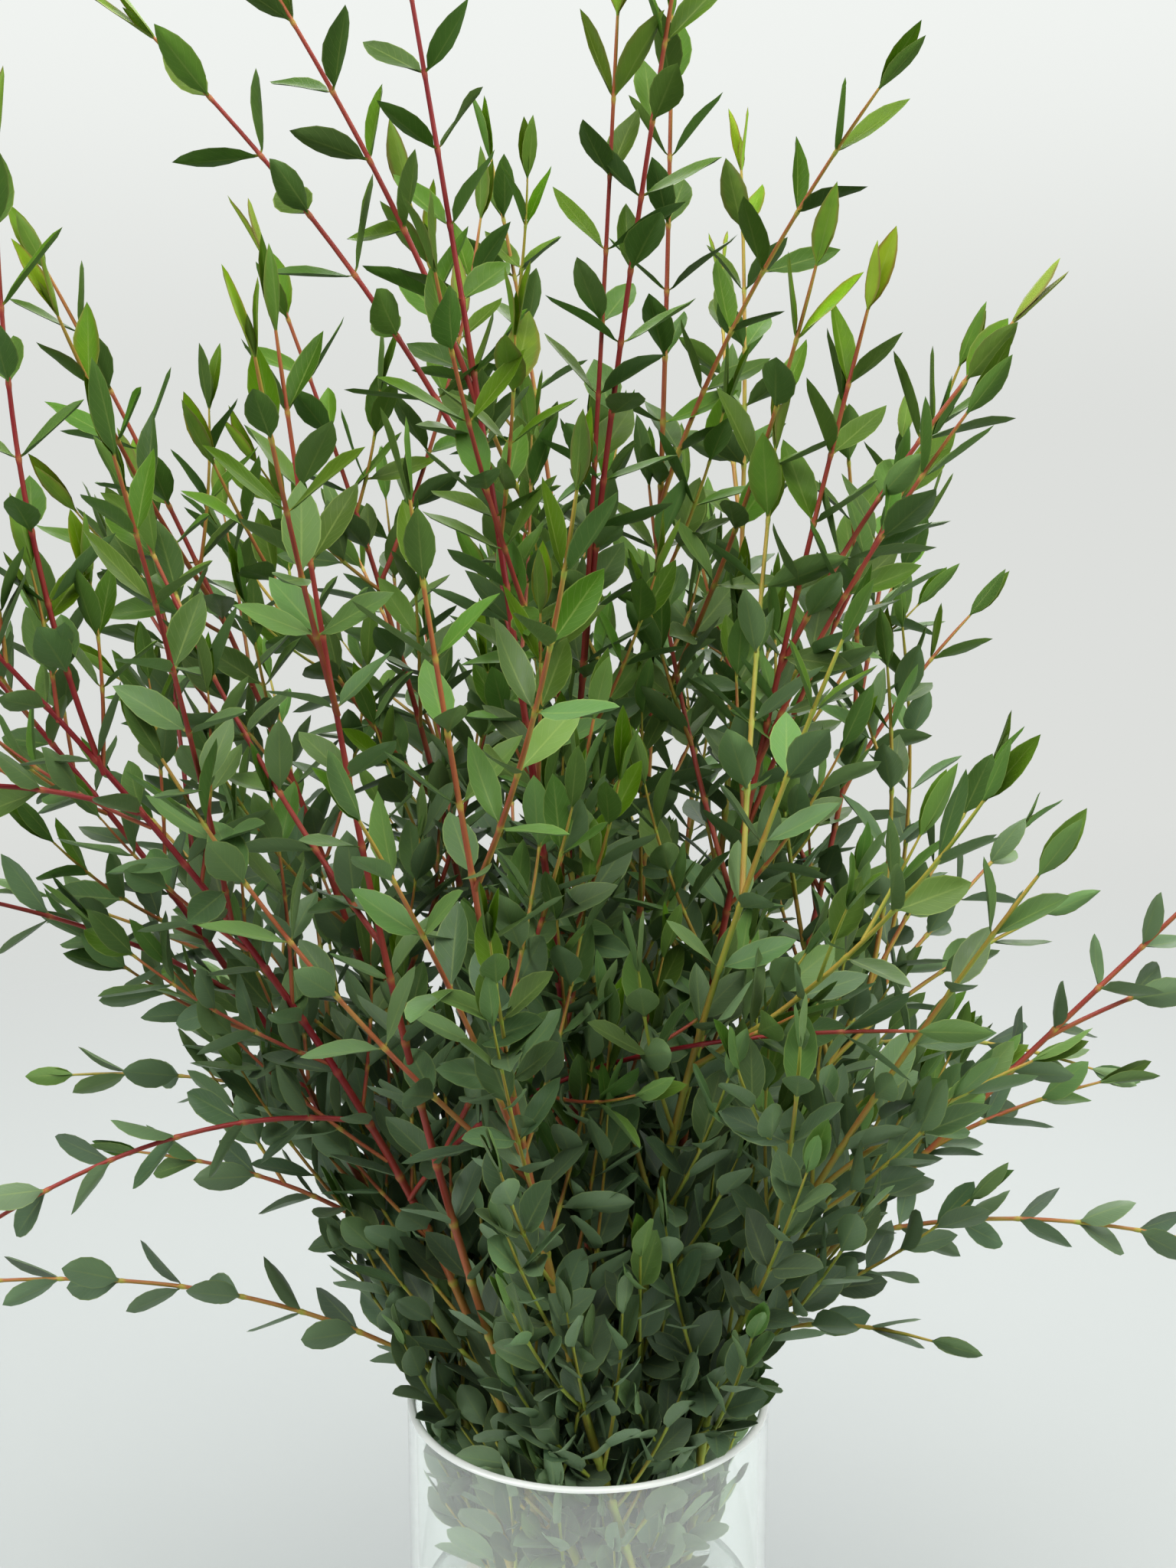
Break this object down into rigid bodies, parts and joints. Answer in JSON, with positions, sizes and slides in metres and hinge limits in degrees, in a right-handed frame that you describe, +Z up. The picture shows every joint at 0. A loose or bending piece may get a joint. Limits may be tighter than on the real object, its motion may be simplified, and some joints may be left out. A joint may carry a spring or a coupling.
{
  "type": "small-leaved gum stems in a glass vase",
  "caption": "Bunch of cut small-leaved gum stems with opposite leaves, fanned out of a clear straight-sided glass vase of water.",
  "frame": {"origin": "centre of the vase's underside, on the surface that it stands on", "axes": "+Z up along the vase's axis, -Y towards the front of the bunch, +X to the right seen from the front"},
  "size_m": [0.6284, 0.4946, 0.8068],
  "materials": {
    "glass": "clear polished",
    "water": "clear still water",
    "leaf_and_twig": "matte waxy leaf"
  },
  "bodies": {
    "root": {"vase": "glass", "water": "water", "stem_01": "leaf_and_twig", "stem_02": "leaf_and_twig", "stem_03": "leaf_and_twig", "stem_04": "leaf_and_twig", "stem_05": "leaf_and_twig", "stem_06": "leaf_and_twig", "stem_07": "leaf_and_twig", "stem_08": "leaf_and_twig", "stem_09": "leaf_and_twig", "stem_10": "leaf_and_twig", "stem_11": "leaf_and_twig", "stem_12": "leaf_and_twig", "stem_13": "leaf_and_twig", "stem_14": "leaf_and_twig", "stem_15": "leaf_and_twig", "stem_16": "leaf_and_twig", "stem_17": "leaf_and_twig", "stem_18": "leaf_and_twig", "stem_19": "leaf_and_twig", "stem_20": "leaf_and_twig", "stem_21": "leaf_and_twig"}
  },
  "joints": []
}
